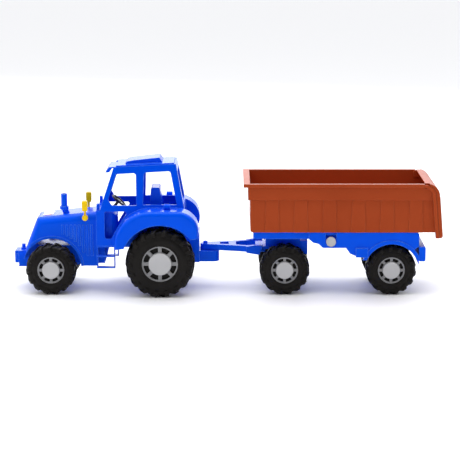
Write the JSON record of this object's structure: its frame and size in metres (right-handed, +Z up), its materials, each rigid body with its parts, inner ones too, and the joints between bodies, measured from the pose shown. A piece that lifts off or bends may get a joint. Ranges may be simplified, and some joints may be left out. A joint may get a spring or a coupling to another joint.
{
  "type": "toy tractor",
  "caption": "Moulded plastic toy tractor with a glazed-frame cab, coupled by a drawbar to a steering trailer whose open body tips to the rear past a hinged tailgate.",
  "frame": {"origin": "on the floor under the middle of the coupled train's bounding box", "axes": "+Z up, -X the way the tractor faces, +X towards the tailgate, -Y the tractor's left side"},
  "size_m": [0.58, 0.141, 0.1825],
  "materials": {
    "blue_plastic": "gloss",
    "brown_plastic": "satin",
    "tyre_black": "semi gloss",
    "rim_grey": "satin",
    "cap_grey": "matte",
    "yellow_plastic": "gloss",
    "black_plastic": "gloss",
    "label_film": "satin",
    "axle_steel": "satin"
  },
  "bodies": {
    "tractor": {"tractor_chassis": "blue_plastic", "hood": "blue_plastic", "cab_frame": "blue_plastic", "cab_roof": "blue_plastic", "dashboard": "blue_plastic", "seat": "blue_plastic", "exhaust_stack": "blue_plastic", "hood_label": "label_film", "front_weights": "blue_plastic", "front_tow_pin": "blue_plastic", "fender_lamps": "blue_plastic", "hitch_pin": "blue_plastic", "step_left": "blue_plastic", "step_right": "blue_plastic"},
    "front_wheelset": {"front_axle": "axle_steel", "front_tyre_left": "tyre_black", "front_tyre_right": "tyre_black", "front_rim_left": "rim_grey", "front_rim_right": "rim_grey", "front_cap_left": "cap_grey", "front_cap_right": "cap_grey"},
    "rear_wheelset": {"rear_axle": "axle_steel", "rear_tyre_left": "tyre_black", "rear_tyre_right": "tyre_black", "rear_rim_left": "rim_grey", "rear_rim_right": "rim_grey", "rear_cap_left": "cap_grey", "rear_cap_right": "cap_grey"},
    "steering": {"steering_wheel": "black_plastic"},
    "left_mirror": {"mirror_left": "yellow_plastic"},
    "right_mirror": {"mirror_right": "yellow_plastic"},
    "drawbar": {"drawbar_frame": "blue_plastic", "kingpin": "blue_plastic"},
    "bogie_wheelset": {"bogie_axle": "axle_steel", "bogie_tyre_left": "tyre_black", "bogie_tyre_right": "tyre_black", "bogie_rim_left": "rim_grey", "bogie_rim_right": "rim_grey", "bogie_cap_left": "cap_grey", "bogie_cap_right": "cap_grey"},
    "trailer": {"trailer_chassis": "blue_plastic", "trailer_bumper": "blue_plastic", "cross_shaft": "axle_steel", "shaft_caps": "cap_grey", "tip_pin": "axle_steel"},
    "trailer_wheelset": {"trailer_axle": "axle_steel", "trailer_tyre_left": "tyre_black", "trailer_tyre_right": "tyre_black", "trailer_rim_left": "rim_grey", "trailer_rim_right": "rim_grey", "trailer_cap_left": "cap_grey", "trailer_cap_right": "cap_grey"},
    "tipping_body": {"dump_body": "brown_plastic"},
    "gate": {"tailgate": "brown_plastic"}
  },
  "joints": [
    {"name": "front_wheels_spin", "type": "hinge", "parent": "tractor", "child": "front_wheelset", "pos_m": [-0.237, 0, 0.034], "axis": [0, 1, 0], "continuous": true},
    {"name": "rear_wheels_spin", "type": "hinge", "parent": "tractor", "child": "rear_wheelset", "pos_m": [-0.089, 0, 0.0465], "axis": [0, 1, 0], "continuous": true},
    {"name": "steering_spin", "type": "hinge", "parent": "tractor", "child": "steering", "pos_m": [-0.147, 0, 0.1203], "axis": [0.6428, 0, 0.766], "continuous": true},
    {"name": "left_mirror_turn", "type": "hinge", "parent": "tractor", "child": "left_mirror", "pos_m": [-0.1913, -0.028, 0.1022], "axis": [0, 1, 0], "range_deg": [-75, 20]},
    {"name": "right_mirror_turn", "type": "hinge", "parent": "tractor", "child": "right_mirror", "pos_m": [-0.1913, 0.028, 0.1022], "axis": [0, 1, 0], "range_deg": [-75, 20]},
    {"name": "hitch_yaw", "type": "hinge", "parent": "tractor", "child": "drawbar", "pos_m": [-0.029, 0, 0.0528], "axis": [0, 0, 1], "range_deg": [-45, 45]},
    {"name": "bogie_wheels_spin", "type": "hinge", "parent": "drawbar", "child": "bogie_wheelset", "pos_m": [0.0785, 0, 0.034], "axis": [0, 1, 0], "continuous": true},
    {"name": "turntable_yaw", "type": "hinge", "parent": "drawbar", "child": "trailer", "pos_m": [0.0785, 0, 0.0775], "axis": [0, 0, 1], "range_deg": [-45, 45]},
    {"name": "trailer_wheels_spin", "type": "hinge", "parent": "trailer", "child": "trailer_wheelset", "pos_m": [0.2225, 0, 0.034], "axis": [0, 1, 0], "continuous": true},
    {"name": "body_tip", "type": "hinge", "parent": "trailer", "child": "tipping_body", "pos_m": [0.253, 0, 0.074], "axis": [0, 1, 0], "range_deg": [0, 35]},
    {"name": "tailgate_swing", "type": "hinge", "parent": "tipping_body", "child": "gate", "pos_m": [0.265, 0, 0.1475], "axis": [0, -1, 0], "range_deg": [0, 60]}
  ]
}
